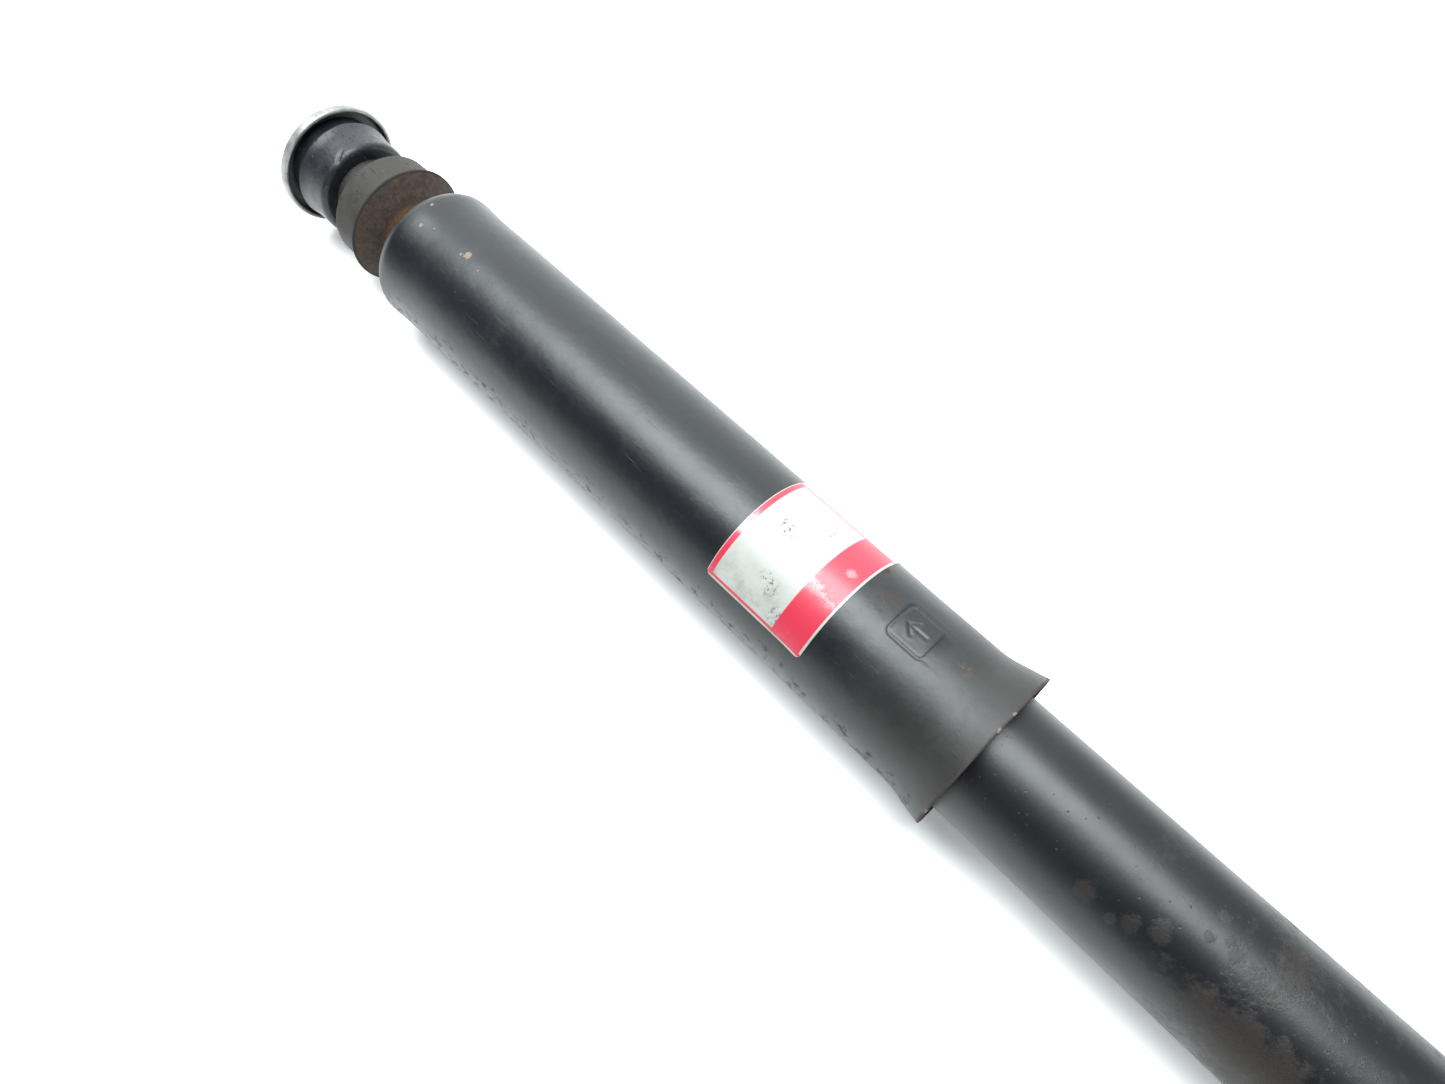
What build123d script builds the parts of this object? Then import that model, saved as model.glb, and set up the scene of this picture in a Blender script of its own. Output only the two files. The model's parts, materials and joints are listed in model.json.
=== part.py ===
from build123d import *
import os
from math import tan, radians

# Telescopic twin-tube damper with a threaded stem at the top and a bolt eye at the bottom.
# The origin is the centre of the lower eye. +X runs along the strut towards the stem, +Z is up,
# and the eye's bolt lies along Y. The strut is fully extended. All sizes are in millimetres.

# Driving dimensions
TUBE_R = 25.4
TUBE_WALL = 2.0
COVER_R = 30.15
COVER_WALL = 1.2
COVER_LENGTH = 318.0
FLARE_R = 33.8
FLARE_LENGTH = 15.0
SHOULDER_R = 9.0
ROD_R = 7.0
STEM_R = 6.0
CYLINDER_BORE_R = 17.5
CYLINDER_WALL = 1.5
RUNNING_GAP = 0.05

# Stations along X
BASE_END = 24.0
TUBE_START = 31.0
TUBE_END = 355.0
FLARE_END = 275.0
COVER_END = FLARE_END + COVER_LENGTH
CYLINDER_START = 40.0
CYLINDER_END = 345.0
VALVE_TOP = 46.0
PISTON_START = 290.0
PISTON_END = 308.0
STEM_SHOULDER = COVER_END - 3.7
STEM_TIP = COVER_END + 91.0

# Lower eye
EYE_R = 21.5
EYE_BORE_R = 18.0
EYE_WIDTH = 32.0
EYE_NECK_R = 14.0
SLEEVE_R = 11.0
BOLT_HOLE_R = 8.1
SLEEVE_WIDTH = 38.0

# Check plates, which guide on a boss and lift against a light spring
BOSS_R = 8.45
PLATE_T = 0.8
DISC_T = 0.3
SPRING_R = 10.3
WIRE_R = 0.3

# Stack on the stem, measured from the cover's closed end
COLLAR_H = 9.0
DISH_T = 2.2
DISH_R = 27.4
DISH_FLAT_R = 14.5
DISH_BEND = 8.0
DISH_DEPTH = 7.9
CUSHION_R = 25.2
CUSHION_TOP = 35.5
SPIGOT_R = 16.0
SPIGOT_TOP = 48.2
SPIGOT_NEST = 2.0
UPPER_CUSHION_R = 22.3
CUP_FLOOR = 75.0
CUP_T = 2.0
CUP_R = 27.9
CUP_DEPTH = 4.0
CUP_WALL = 1.7
SPACER_R = 8.0
NUT_FLATS = 18.0
NUT_H = 9.5

# Label on the cover
LABEL_START = FLARE_END + 64.3
LABEL_WIDTH = 46.0
LABEL_T = 0.15
LABEL_FIRST_DEG = 30.0
LABEL_SPAN_DEG = 145.0


def turned(*corners, arc=360):
    """Solid of revolution about X from corners (station, radius[, rounding])."""
    points = [corner[:2] for corner in corners]
    rounding = [corner[2] if len(corner) > 2 else 0 for corner in corners]
    if any(rounding):
        outline = FilletPolyline(*points, radius=rounding, close=True)
    else:
        outline = Polyline(*points, close=True)
    return revolve(make_face(outline), axis=Axis.X, revolution_arc=arc)


def ring(start, end, outer, inner=0.0):
    """Plain disc or ring between two stations."""
    return turned((start, inner), (start, outer), (end, outer), (end, inner))


def across(shape):
    """Turns a shape made along X so that it lies along Y."""
    return Rot(0, 0, 90) * shape


def holes(count, pitch_r, radius, start, end, first_deg=0.0):
    """Straight holes parallel to X on a pitch circle."""
    drill = Pos((start + end) / 2, pitch_r, 0) * Rot(0, 90, 0) * Cylinder(radius, end - start)
    return [Rot(first_deg + 360 * i / count, 0, 0) * drill for i in range(count)]


def hexagon(start, height, flats, bore, chamfer_deg=30):
    """Hexagon nut along X with both ends chamfered."""
    corner_r = flats / 2 / 0.8660254
    blank = Pos(start, 0, 0) * Rot(0, 90, 0) * extrude(RegularPolygon(corner_r, 6), height)
    drop = (corner_r - flats / 2) * tan(radians(chamfer_deg))
    envelope = turned(
        (start, 0), (start, flats / 2), (start + drop, corner_r),
        (start + height - drop, corner_r), (start + height, flats / 2), (start + height, 0),
    )
    return (blank & envelope) - ring(start - 1, start + height + 1, bore)


def coil(start, end, turns):
    """Open coil spring along X between two wire-centre stations."""
    path = Helix((end - start) / turns, end - start, SPRING_R)
    wire = Plane(origin=path @ 0, z_dir=path % 0) * Circle(WIRE_R)
    return Pos(start, 0, 0) * Rot(0, 90, 0) * sweep(wire, path=path, is_frenet=True)


def discs(face, direction, radii, inner):
    """Stack of thin valve discs that starts at a face, largest first."""
    stack = []
    for i, radius in enumerate(radii):
        near = face + direction * i * DISC_T
        far = near + direction * DISC_T
        stack.append(ring(min(near, far), max(near, far), radius, inner))
    return Compound(stack)


# ---- Lower eye ----

def eye_ring():
    """Ring with a round neck that is welded to the base cap."""
    shell = across(ring(-EYE_WIDTH / 2, EYE_WIDTH / 2, EYE_R))
    neck = turned((0, 0), (0, EYE_NECK_R), (BASE_END, EYE_NECK_R), (BASE_END, 0))
    return shell + neck - across(ring(-EYE_WIDTH, EYE_WIDTH, EYE_BORE_R))


def eye_rubber():
    """Rubber bush between the ring and the sleeve, with bevelled ends."""
    inner = SLEEVE_R + RUNNING_GAP
    end = EYE_WIDTH / 2 + 1
    return across(turned(
        (-end, inner), (-end, EYE_BORE_R - 2), (-end + 1.5, EYE_BORE_R),
        (end - 1.5, EYE_BORE_R), (end, EYE_BORE_R - 2), (end, inner),
    ))


def eye_sleeve():
    """Steel sleeve that the lower bolt goes through."""
    end = SLEEVE_WIDTH / 2
    bevel = 0.5
    return across(turned(
        (-end, BOLT_HOLE_R), (-end, SLEEVE_R - bevel), (-end + bevel, SLEEVE_R),
        (end - bevel, SLEEVE_R), (end, SLEEVE_R - bevel), (end, BOLT_HOLE_R),
    ))


# ---- Reservoir tube and what closes it ----

def reservoir_tube():
    """Outer tube, rolled over the seal at its top."""
    inner = TUBE_R - TUBE_WALL
    lip = TUBE_END - TUBE_WALL
    return turned(
        (TUBE_START, inner), (TUBE_START, TUBE_R), (TUBE_END, TUBE_R, 1.9),
        (TUBE_END, inner - 4), (lip, inner - 4), (lip, inner),
    )


def base_cap():
    """Pressed cap inside the tube's end, with its weld bead."""
    inner = TUBE_R - TUBE_WALL
    bead_r = TUBE_R - 0.5
    floor = BASE_END + 3
    return turned(
        (BASE_END, 0), (BASE_END, 17, 3), (TUBE_START - 3, bead_r, 1.2), (TUBE_START, bead_r),
        (TUBE_START, inner), (42, inner), (42, inner - 2.5), (TUBE_START, inner - 2.5, 3),
        (floor, 13.5, 2), (floor, 0),
    )


def rod_guide():
    """Guide that centres the working cylinder and holds the bush and the seal."""
    return turned(
        (338, 8.55), (338, CYLINDER_BORE_R), (CYLINDER_END, CYLINDER_BORE_R),
        (CYLINDER_END, TUBE_R - TUBE_WALL), (351, TUBE_R - TUBE_WALL), (351, 14), (347, 14),
        (347, 8.55),
    )


def rod_seal():
    """Rubber seal with a wiper lip that stands proud of the tube."""
    inner = ROD_R + RUNNING_GAP
    return turned((347, inner), (347, 14), (353, 14), (353, 10.5), (356.5, 9.3), (356.5, inner))


# ---- Base valve ----

def base_valve_body():
    """Valve body that stands on the cap's floor and plugs the working cylinder."""
    floor = BASE_END + 3
    top_r = CYLINDER_BORE_R + CYLINDER_WALL
    body = turned(
        (floor, 9.5), (floor, 12.5), (36, 12.5), (36, top_r), (CYLINDER_START, top_r),
        (CYLINDER_START, CYLINDER_BORE_R), (VALVE_TOP, CYLINDER_BORE_R), (VALVE_TOP, BOSS_R),
        (VALVE_TOP + 1.9, BOSS_R), (VALVE_TOP + 1.9, 3), (36, 3), (36, 9.5),
    )
    slot = Pos(floor + 2, 0, 0) * Box(4, 30, 6)
    intake = holes(8, 14.5, 1.3, 35, VALVE_TOP + 1)
    bleed = holes(4, 6.0, 1.1, 35, VALVE_TOP + 3, first_deg=45)
    return body - [slot, Rot(90, 0, 0) * slot] - intake - bleed


def base_valve_rivet():
    """Rivet that holds the base valve's discs and the check spring."""
    head = VALVE_TOP + 5.8
    disc_end = 36 - 3 * DISC_T
    return turned(
        (disc_end - 2, 0), (disc_end - 2, 5, 0.8), (disc_end, 5), (disc_end, 3), (head, 3),
        (head, SPRING_R + 1.2), (head + 1.4, SPRING_R + 1.2, 0.6), (head + 1.4, 0),
    )


# ---- Piston and rod ----

def piston():
    """Piston with a groove for its ring and two circles of oil passages."""
    land_r = CYLINDER_BORE_R - 0.4
    groove_r = CYLINDER_BORE_R - 1.6
    body = turned(
        (PISTON_START, 5), (PISTON_START, land_r), (294, land_r), (294, groove_r), (304, groove_r),
        (304, land_r), (PISTON_END, land_r), (PISTON_END, BOSS_R), (PISTON_END + 4, BOSS_R),
        (PISTON_END + 4, 5),
    )
    outer = holes(6, 13.4, 1.2, PISTON_START - 1, PISTON_END + 1)
    inner = holes(6, 10.3, 1.1, PISTON_START - 1, PISTON_END + 1, first_deg=30)
    return body - outer - inner


def check_plate(start, outer, window_count=0):
    """Thin ring that lifts off its passages, with windows for the other flow."""
    plate = ring(start, start + PLATE_T, outer, BOSS_R + RUNNING_GAP)
    if window_count:
        plate -= holes(window_count, 10.3, 1.5, start - 1, start + 2, first_deg=30)
    return plate


def piston_rod():
    """Rod with the piston's threaded end below and the stem above."""
    shoulder = PISTON_END + 5.5
    return turned(
        (279, 0), (279, 4.2), (279.8, 5), (shoulder, 5), (shoulder, ROD_R),
        (STEM_SHOULDER, ROD_R), (STEM_SHOULDER, STEM_R), (STEM_TIP - 1, STEM_R),
        (STEM_TIP, STEM_R - 1), (STEM_TIP, 0),
    )


def rebound_bumper():
    """Rubber ring that meets the guide at full extension."""
    return turned(
        (322, ROD_R), (322, 13.5, 1), (327, 13.5, 1), (330, 11.5, 1), (333, 13.5, 1),
        (337.8, 13.5, 1), (337.8, ROD_R),
    )


# ---- Dust cover ----

def dust_cover():
    """Deep-drawn cover, closed at the stem end and flared at the open end."""
    bend = FLARE_END + FLARE_LENGTH
    inner = COVER_R - COVER_WALL
    closed = COVER_END - COVER_WALL
    return turned(
        (FLARE_END, FLARE_R), (bend, COVER_R, 25), (COVER_END, COVER_R, SHOULDER_R),
        (COVER_END, 9), (closed, 9), (closed, inner, SHOULDER_R - COVER_WALL),
        (bend, inner, 25), (FLARE_END, FLARE_R - COVER_WALL),
    )


def cover_plate():
    """Thick washer welded inside the cover's closed end, seated on the rod's shoulder."""
    closed = COVER_END - COVER_WALL
    return turned(
        (STEM_SHOULDER, STEM_R), (STEM_SHOULDER, 18), (closed, 18), (closed, 9),
        (COVER_END, 9), (COVER_END, STEM_R),
    )


def cover_label():
    """Printed label wrapped round part of the cover."""
    end = LABEL_START + LABEL_WIDTH
    outer = COVER_R + LABEL_T
    skin = turned(
        (LABEL_START, COVER_R), (LABEL_START, outer), (end, outer), (end, COVER_R),
        arc=LABEL_SPAN_DEG,
    )
    return Rot(LABEL_FIRST_DEG, 0, 0) * skin


# ---- Stack on the stem ----

def above(height):
    """Station at a height above the cover's closed end."""
    return COVER_END + height


DISH_FLOOR = above(COLLAR_H + DISH_T)


def lower_retainer():
    """Dished washer, hollow towards the lower cushion."""
    slope = (DISH_R - DISH_FLAT_R) / DISH_DEPTH
    rim = DISH_FLOOR + DISH_DEPTH
    edge = 1.9
    back_flat_r = DISH_R - slope * (DISH_DEPTH + DISH_T - edge)
    return turned(
        (above(COLLAR_H), STEM_R), (above(COLLAR_H), back_flat_r, DISH_BEND + 2),
        (rim - edge, DISH_R, 0.5), (rim, DISH_R), (DISH_FLOOR, DISH_FLAT_R, DISH_BEND),
        (DISH_FLOOR, STEM_R),
    )


def lower_cushion():
    """Rubber cushion that fills the dish, with the spigot for the body plate."""
    slope = (DISH_R - DISH_FLAT_R) / DISH_DEPTH
    leave = DISH_FLOOR + (CUSHION_R - DISH_FLAT_R) / slope
    return turned(
        (DISH_FLOOR, SPACER_R), (DISH_FLOOR, DISH_FLAT_R, DISH_BEND), (leave, CUSHION_R),
        (above(CUSHION_TOP), CUSHION_R, 1.5), (above(CUSHION_TOP), SPIGOT_R),
        (above(SPIGOT_TOP + SPIGOT_NEST), SPIGOT_R), (above(SPIGOT_TOP + SPIGOT_NEST), SPACER_R),
    )


def upper_cushion():
    """Barrel-shaped rubber cushion above the body plate, with a seat for the spigot."""
    seat = above(SPIGOT_TOP + SPIGOT_NEST)
    return turned(
        (seat, SPACER_R), (seat, SPIGOT_R), (above(SPIGOT_TOP), SPIGOT_R),
        (above(SPIGOT_TOP), UPPER_CUSHION_R, 2.5), (above(62), UPPER_CUSHION_R + 0.3, 20),
        (above(69), UPPER_CUSHION_R + 1.5, 2),
        (above(CUP_FLOOR), 17.5), (above(CUP_FLOOR), SPACER_R),
    )


def upper_retainer():
    """Cupped washer, hollow towards the upper cushion, with a rolled edge."""
    back = CUP_FLOOR + CUP_T
    rim = CUP_FLOOR - CUP_DEPTH
    inner = CUP_R - CUP_WALL
    return turned(
        (above(back), STEM_R), (above(back), CUP_R, 3), (above(rim), CUP_R, 0.8),
        (above(rim), inner, 0.8), (above(CUP_FLOOR), inner, 1.3), (above(CUP_FLOOR), STEM_R),
    )


parts = {
    "eye_ring": eye_ring(),
    "eye_rubber": eye_rubber(),
    "eye_sleeve": eye_sleeve(),
    "base_cap": base_cap(),
    "reservoir_tube": reservoir_tube(),
    "working_cylinder": ring(
        CYLINDER_START, CYLINDER_END, CYLINDER_BORE_R + CYLINDER_WALL, CYLINDER_BORE_R
    ),
    "rod_guide": rod_guide(),
    "guide_bush": ring(338, 347, 8.55, ROD_R + RUNNING_GAP),
    "rod_seal": rod_seal(),
    "seal_washer": ring(351, TUBE_END - TUBE_WALL, TUBE_R - TUBE_WALL, 14),
    "base_valve_body": base_valve_body(),
    "base_valve_discs": discs(36, -1, (8.0, 7.2, 6.4), 3),
    "base_valve_rivet": base_valve_rivet(),
    "base_check_plate": check_plate(VALVE_TOP, 16.4),
    "base_check_spring": coil(VALVE_TOP + 1.15, VALVE_TOP + 5.45, 3),
    "piston_rod": piston_rod(),
    "piston": piston(),
    "piston_ring": ring(
        294.05, 303.95, CYLINDER_BORE_R - RUNNING_GAP, CYLINDER_BORE_R - 1.6 + RUNNING_GAP
    ),
    "piston_check_plate": check_plate(PISTON_END, 15.2, window_count=6),
    "piston_check_spring": coil(PISTON_END + 1.15, PISTON_END + 3.65, 2),
    "piston_stop_washer": ring(PISTON_END + 4, PISTON_END + 5.5, 12.5, 5),
    "rebound_discs": discs(PISTON_START, -1, (12.0, 11.0, 10.0), 5),
    "piston_nut": hexagon(281.1, 8, 15, 5),
    "rebound_stop": ring(318, 322, 11, ROD_R),
    "rebound_bumper": rebound_bumper(),
    "dust_cover": dust_cover(),
    "cover_plate": cover_plate(),
    "cover_label": cover_label(),
    "stem_collar": turned(
        (COVER_END, STEM_R), (COVER_END, 13), (above(COLLAR_H), 11.5), (above(COLLAR_H), STEM_R)
    ),
    "lower_retainer": lower_retainer(),
    "lower_cushion": lower_cushion(),
    "spacer_sleeve": ring(DISH_FLOOR, above(CUP_FLOOR), SPACER_R, STEM_R),
    "upper_cushion": upper_cushion(),
    "upper_retainer": upper_retainer(),
    "top_nut": hexagon(above(CUP_FLOOR + CUP_T), NUT_H, NUT_FLATS, STEM_R),
}

os.makedirs("parts", exist_ok=True)
for name, shape in parts.items():
    export_step(shape, f"parts/{name}.step")
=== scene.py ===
import json
from functools import cached_property
from math import ceil, cos, exp, hypot, pi, radians, sin, tan

import bmesh
import bpy
from bpy.props import FloatProperty, FloatVectorProperty, IntProperty, PointerProperty
from mathutils import Matrix, Vector, noise

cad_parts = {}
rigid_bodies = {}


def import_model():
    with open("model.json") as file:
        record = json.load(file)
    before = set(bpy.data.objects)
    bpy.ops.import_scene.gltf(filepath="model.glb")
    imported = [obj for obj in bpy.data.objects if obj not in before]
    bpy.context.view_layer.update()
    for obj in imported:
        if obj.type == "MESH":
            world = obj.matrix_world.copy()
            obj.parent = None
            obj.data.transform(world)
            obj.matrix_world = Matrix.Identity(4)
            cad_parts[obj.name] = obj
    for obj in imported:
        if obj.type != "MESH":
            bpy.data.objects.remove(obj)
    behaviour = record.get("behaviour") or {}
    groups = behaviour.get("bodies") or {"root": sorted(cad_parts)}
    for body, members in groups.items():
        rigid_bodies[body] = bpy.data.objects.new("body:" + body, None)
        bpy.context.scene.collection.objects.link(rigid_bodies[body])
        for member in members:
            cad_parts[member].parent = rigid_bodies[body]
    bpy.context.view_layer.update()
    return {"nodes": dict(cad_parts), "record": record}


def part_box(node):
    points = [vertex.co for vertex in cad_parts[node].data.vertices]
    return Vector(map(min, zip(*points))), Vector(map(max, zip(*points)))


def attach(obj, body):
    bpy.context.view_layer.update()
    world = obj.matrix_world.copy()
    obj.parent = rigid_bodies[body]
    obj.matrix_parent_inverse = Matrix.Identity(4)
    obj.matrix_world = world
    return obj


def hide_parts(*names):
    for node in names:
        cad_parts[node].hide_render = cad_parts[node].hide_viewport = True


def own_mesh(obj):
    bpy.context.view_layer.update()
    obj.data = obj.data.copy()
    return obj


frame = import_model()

# Visible model of a twin-tube damper: a tube with a bolt eye, a dust cover over it and a stem with
# two rubber cushions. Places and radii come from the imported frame, +X runs from the eye to the stem.

bl_info = {
    "name": "Stem-top damper",
    "version": (1, 0, 0),
    "blender": (4, 5, 0),
    "location": "View3D > Sidebar > Damper",
    "description": "Builds a worn telescopic damper round its packed frame",
    "category": "Add Mesh",
}

MM = 0.001


# ---- Places from the frame ----

class Span:
    """Start and end along X, and the radius, of a turned node of the frame."""

    def __init__(self, node):
        low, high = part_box(node)
        self.start, self.end, self.radius = low.x, high.x, high.z


def mount(key, value):
    """One of the record's mounts."""
    return next(m for m in frame["record"]["mounts"] if m[key] == value)


COVER = Span("dust_cover")
TUBE = Span("reservoir_tube")
CAP = Span("base_cap")
ROD = Span("piston_rod")
COLLAR = Span("stem_collar")
DISH = Span("lower_retainer")
SPACER = Span("spacer_sleeve")
UPPER = Span("upper_cushion")
STOP = Span("piston_stop_washer")
SLEEVE = Span("eye_sleeve")
CUP = Span("upper_retainer")
NUT = Span("top_nut")
LABEL = Span("cover_label")
EYE = Span("eye_ring")
PLATE_SEAT = Span("cover_plate")
GROOVE_LOW = mount("name", "plate_face_lower")["pos_m"][0]
BOLT_R = mount("kind", "bore")["dims"]["r_mm"] * MM
LABEL_SPACE = 0.15 * MM
SPACER_WALL = 2.0 * MM
COVER_R = LABEL.radius - LABEL_SPACE
STEM_R = SPACER.radius - SPACER_WALL
HEAD_R = 5 * MM  # of the rod where it carries the piston


# ---- Settings ----

def length(name, description, default):
    """A size in metres."""
    return FloatProperty(
        name=name, description=description, default=default, unit="LENGTH", precision=5
    )


def number(name, description, default, low=0.0, high=100.0):
    """A plain number."""
    return FloatProperty(name=name, description=description, default=default, min=low, max=high)


def colour(name, description, default):
    """A linear colour."""
    return FloatVectorProperty(
        name=name, description=description, default=default, subtype="COLOR", size=3, min=0, max=1
    )


class CoverSettings(bpy.types.PropertyGroup):
    """Dust cover and its label."""

    wall: length("Wall", "Thickness of the cover's sheet", 1.2 * MM)
    flare: length("Flare length", "Length of the cone at the open end", 15 * MM)
    bend: length("Flare bend", "Radius where the cone leaves the cylinder", 25 * MM)
    shoulder: length("Shoulder", "Radius of the closed end's edge", 9 * MM)
    bore: length("End hole radius", "Hole in the closed end", 9 * MM)
    swell: length("Shoulder swell", "How far the drawn shoulder stands proud", 0.45 * MM)
    stamp_place: length("Stamp place", "Distance of the stamped frame from the open end", 40.6 * MM)
    stamp_size: length("Stamp size", "Half the width of the stamped frame", 7.7 * MM)
    stamp_depth: length("Stamp depth", "Depth of the stamped line", 0.26 * MM)
    paint: colour("Paint", "Black paint", (0.0034, 0.0048, 0.0070))
    grime: colour("Grime", "Dried dirt near the open end", (0.021, 0.020, 0.015))
    rust: colour("Rust", "Rust flecks", (0.030, 0.014, 0.007))
    bare: colour("Bare primer", "Chips down to the primer", (0.115, 0.075, 0.048))
    label_white: colour("Label white", "Label paper", (0.345, 0.35, 0.335))
    label_red: colour("Label red", "Label print", (0.42, 0.018, 0.043))
    label_band: length("Label band", "Width of the broad band", 14 * MM)


class TubeSettings(bpy.types.PropertyGroup):
    """Reservoir tube, base cap and eye."""

    wall: length("Wall", "Thickness of the tube", 2 * MM)
    lip: length("Rolled lip", "Radius rolled over the seal", 1.9 * MM)
    paint: colour("Paint", "Black paint", (0.0032, 0.0040, 0.0056))
    rust: colour("Rust", "Brown rust stain", (0.0185, 0.0110, 0.0072))
    weld_ripples: IntProperty(
        name="Weld ripples", description="Ripples round the base weld", default=62, min=8, max=200
    )
    weld_radius: length("Weld bead", "Radius of the weld bead's section", 1.9 * MM)
    eye_bore: length("Eye bore", "Radius inside the eye ring", 18 * MM)
    neck: length("Eye neck", "Radius of the neck under the eye", 14 * MM)
    valve_lift: length("Valve lift", "How far a check plate lifts off its seat", 0.8 * MM)


class StackSettings(bpy.types.PropertyGroup):
    """Cushions, retainers and stem."""

    dish_sheet: length("Dish sheet", "Thickness of the lower retainer", 2.2 * MM)
    dish_flat: length("Dish flat", "Radius where the lower retainer's floor ends", 14.5 * MM)
    dish_bend: length("Dish bend", "Inner bend of the lower retainer", 8 * MM)
    cushion_radius: length("Lower cushion", "Radius of the lower cushion", 25.2 * MM)
    spigot: length("Spigot", "Radius of the spigot in the plate's hole", 16 * MM)
    nest: length("Spigot nest", "How far the spigot sits in the upper cushion", 2 * MM)
    cup_sheet: length("Cup sheet", "Thickness of the upper retainer", 2 * MM)
    thread_pitch: length("Thread pitch", "Pitch of the stem's thread", 1.25 * MM)
    thread_depth: length("Thread depth", "Depth of the stem's thread", 0.7 * MM)
    dish_rust: colour("Dish rust", "Rusty lower retainer", (0.050, 0.030, 0.021))
    neck_rust: colour("Neck rust", "Bright rust beside the neck", (0.150, 0.060, 0.010))
    dusty_rubber: colour("Dusty rubber", "Weathered rubber", (0.0150, 0.0140, 0.0125))
    clean_rubber: colour("Clean rubber", "Rubber of the upper cushion", (0.0060, 0.0068, 0.0098))
    zinc: colour("Zinc", "Plated steel", (0.36, 0.36, 0.345))


class StageSettings(bpy.types.PropertyGroup):
    """Floor, lights and camera."""

    floor: colour("Floor", "Floor colour", (0.80, 0.80, 0.79))
    far_sky: number("Far side", "Brightness of the far side of the room", 2.4)
    near_sky: number("Near side", "Brightness behind the camera", 0.12)
    low_sky: number("Near horizon", "Brightness low down behind the camera", 0.5)
    floor_glow: number("Floor glow", "Light given by the floor itself", 0.26)
    lamp: number("Lamp", "Radiance of the overhead lamp", 11.8)
    lens: FloatProperty(name="Lens", description="Focal length in mm", default=24.91, min=1, max=500)
    azimuth: number("Azimuth", "Camera azimuth in degrees", 226.2, 0, 360)
    elevation: number("Elevation", "Camera elevation in degrees", 62.6, -90, 90)


# ---- Node trees written as expressions ----

class Value:
    """A socket of a node tree that can stand in an arithmetic expression."""

    def __init__(self, graph, socket):
        self.graph, self.socket = graph, socket

    def maths(self, operation, *terms, clamp=False):
        settings = {"operation": operation, "use_clamp": clamp}
        return self.graph.node("ShaderNodeMath", settings, dict(enumerate(terms)))

    def __add__(self, other):
        return self.maths("ADD", self, other)

    def __sub__(self, other):
        return self.maths("SUBTRACT", self, other)

    def __rsub__(self, other):
        return self.maths("SUBTRACT", other, self)

    def __mul__(self, other):
        return self.maths("MULTIPLY", self, other)

    def __truediv__(self, other):
        return self.maths("DIVIDE", self, other)

    def __abs__(self):
        return self.maths("ABSOLUTE", self)

    __radd__ = __add__
    __rmul__ = __mul__

    def held(self):
        """Held between 0 and 1."""
        return self.maths("ADD", self, 0.0, clamp=True)

    def least(self, other):
        return self.maths("MINIMUM", self, other)

    def most(self, other):
        return self.maths("MAXIMUM", self, other)

    def sine(self):
        return self.maths("SINE", self)

    def root(self):
        return self.maths("SQRT", self)


class Graph:
    """Adds nodes to a tree."""

    def __init__(self, tree):
        self.tree = tree

    def node(self, kind, settings=None, inputs=None, output=0):
        """A node with its settings made first, then its inputs, returned as one of its outputs."""
        node = self.tree.nodes.new(kind)
        for key, value in (settings or {}).items():
            if key == "stops":
                self.set_stops(node.color_ramp, value)
            else:
                setattr(node, key, value)
        for key, value in (inputs or {}).items():
            self.feed(node.inputs[key], value)
        return Value(self, node.outputs[output])

    def feed(self, socket, value):
        if isinstance(value, Value):
            self.tree.links.new(value.socket, socket)
        elif value is not None:
            socket.default_value = value

    def set_stops(self, ramp, stops):
        while len(ramp.elements) < len(stops):
            ramp.elements.new(1.0)
        for element, (place, shade) in zip(ramp.elements, stops):
            element.position = place
            element.color = rgba(shade)

    def smooth(self, value, low, high):
        """0 below low, 1 above high, with a soft step between."""
        settings = {"interpolation_type": "SMOOTHSTEP"}
        if low > high:
            return 1 - self.smooth(value, high, low)
        inputs = {"Value": value, "From Min": low, "From Max": high}
        return self.node("ShaderNodeMapRange", settings, inputs)

    def mix(self, share, first, second):
        """Colour mix."""
        inputs = {0: share, 6: rgba(first), 7: rgba(second)}
        return self.node("ShaderNodeMix", {"data_type": "RGBA"}, inputs, output=2)


def rgba(shade):
    """Four numbers from three, and anything else as it is."""
    if isinstance(shade, Value) or len(shade) == 4:
        return shade
    return (*shade, 1.0)


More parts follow.
